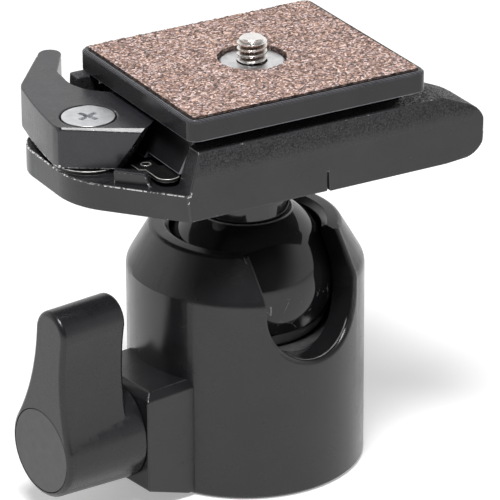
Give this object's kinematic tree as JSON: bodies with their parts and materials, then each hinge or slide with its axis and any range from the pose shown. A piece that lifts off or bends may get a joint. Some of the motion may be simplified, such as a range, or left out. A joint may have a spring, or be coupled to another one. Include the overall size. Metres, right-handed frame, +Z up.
{
  "type": "tripod ball head",
  "caption": "Ball head with a drop notch, a wing knob and a lever-lock quick-release clamp that holds a cork-faced plate with a camera screw.",
  "frame": {"origin": "centre of the tripod thread's mouth in the base face", "axes": "+Z up through the ball's centre, -X along the knob's axis, -Y through the drop notch"},
  "size_m": [0.095, 0.0738, 0.0951],
  "materials": {
    "black_casting": "satin black",
    "lever_paint": "satin dark grey",
    "knob_plastic": "matte black",
    "cap_plastic": "matte dark grey",
    "polished_black": "polished black anodised",
    "steel": "plain",
    "zinc": "zinc plated",
    "nickel": "nickel plated",
    "disc_steel": "fine turned",
    "brass": "turned",
    "cork": "agglomerated cork",
    "polymer": "acetal"
  },
  "bodies": {
    "base": {"housing": "black_casting", "base_plate": "black_casting", "thread_bush": "brass", "base_screws": "steel", "cup_spring": "steel", "boss_bush": "brass"},
    "cup": {"pressure_cup": "polymer"},
    "liner": {"cup_liner": "polymer"},
    "ball": {"ball": "polished_black"},
    "head": {"neck": "black_casting", "stem_screw": "steel", "clamp_body": "black_casting", "lever_pivot": "steel", "lever_shim": "steel", "lever_spring": "steel", "lever_screw": "zinc", "catch_strip": "steel", "catch_rivet": "steel", "trip_spring": "steel", "trip_plug": "steel", "qr_plate": "black_casting", "cork_pad": "cork", "screw_disc": "disc_steel", "screw_clip": "steel"},
    "lever": {"lever": "lever_paint"},
    "trip": {"trip_pin": "steel"},
    "camera_screw": {"camera_screw": "nickel"},
    "feed": {"knob_washer": "polymer"},
    "knob": {"knob_body": "knob_plastic", "knob_cap": "cap_plastic", "knob_insert": "brass", "knob_nut": "steel", "clamp_spindle": "steel"}
  },
  "joints": [
    {"name": "cup_lift", "type": "slide", "parent": "base", "child": "cup", "axis": [0, 0, -1], "range_m": [0, 0.0002], "deforming": ["cup_spring"]},
    {"name": "sway", "type": "hinge", "parent": "base", "child": "liner", "pos_m": [0, 0, 0.041], "axis": [0, 1, 0], "range_deg": [-18, 18]},
    {"name": "drop", "type": "hinge", "parent": "liner", "child": "ball", "pos_m": [0, 0, 0.041], "axis": [1, 0, 0], "range_deg": [-18, 90]},
    {"name": "pan", "type": "hinge", "parent": "ball", "child": "head", "pos_m": [0, 0, 0.041], "axis": [0, 0, 1], "continuous": true},
    {"name": "lever_swing", "type": "hinge", "parent": "head", "child": "lever", "pos_m": [-0.03548, 0.00689, 0.08], "axis": [0, 0, 1], "range_deg": [0, 85], "stiffness_Nm_per_rad": 0.02, "springref_deg": -28.65},
    {"name": "trip_press", "type": "slide", "parent": "head", "child": "trip", "axis": [0, 0, -1], "range_m": [0, 0.0008], "stiffness_N_per_m": 250, "springref_m": -0.001, "deforming": ["trip_spring"]},
    {"name": "camera_screw_turn", "type": "hinge", "parent": "head", "child": "camera_screw", "pos_m": [0.00188, -0.00027, 0.09], "axis": [0, 0, 1], "continuous": true},
    {"name": "knob_feed", "type": "slide", "parent": "base", "child": "feed", "axis": [-1, 0, 0], "range_m": [0, 0.0003819]},
    {"name": "knob_turn", "type": "hinge", "parent": "feed", "child": "knob", "pos_m": [-0.045, 0, 0.016], "axis": [-1, 0, 0], "range_deg": [0, 110]}
  ],
  "couplings": [
    {"joint": "knob_turn", "follows": "knob_feed", "rad_per_m": 5026.5},
    {"joint": "cup_lift", "follows": "knob_feed", "ratio": 0.5235}
  ]
}
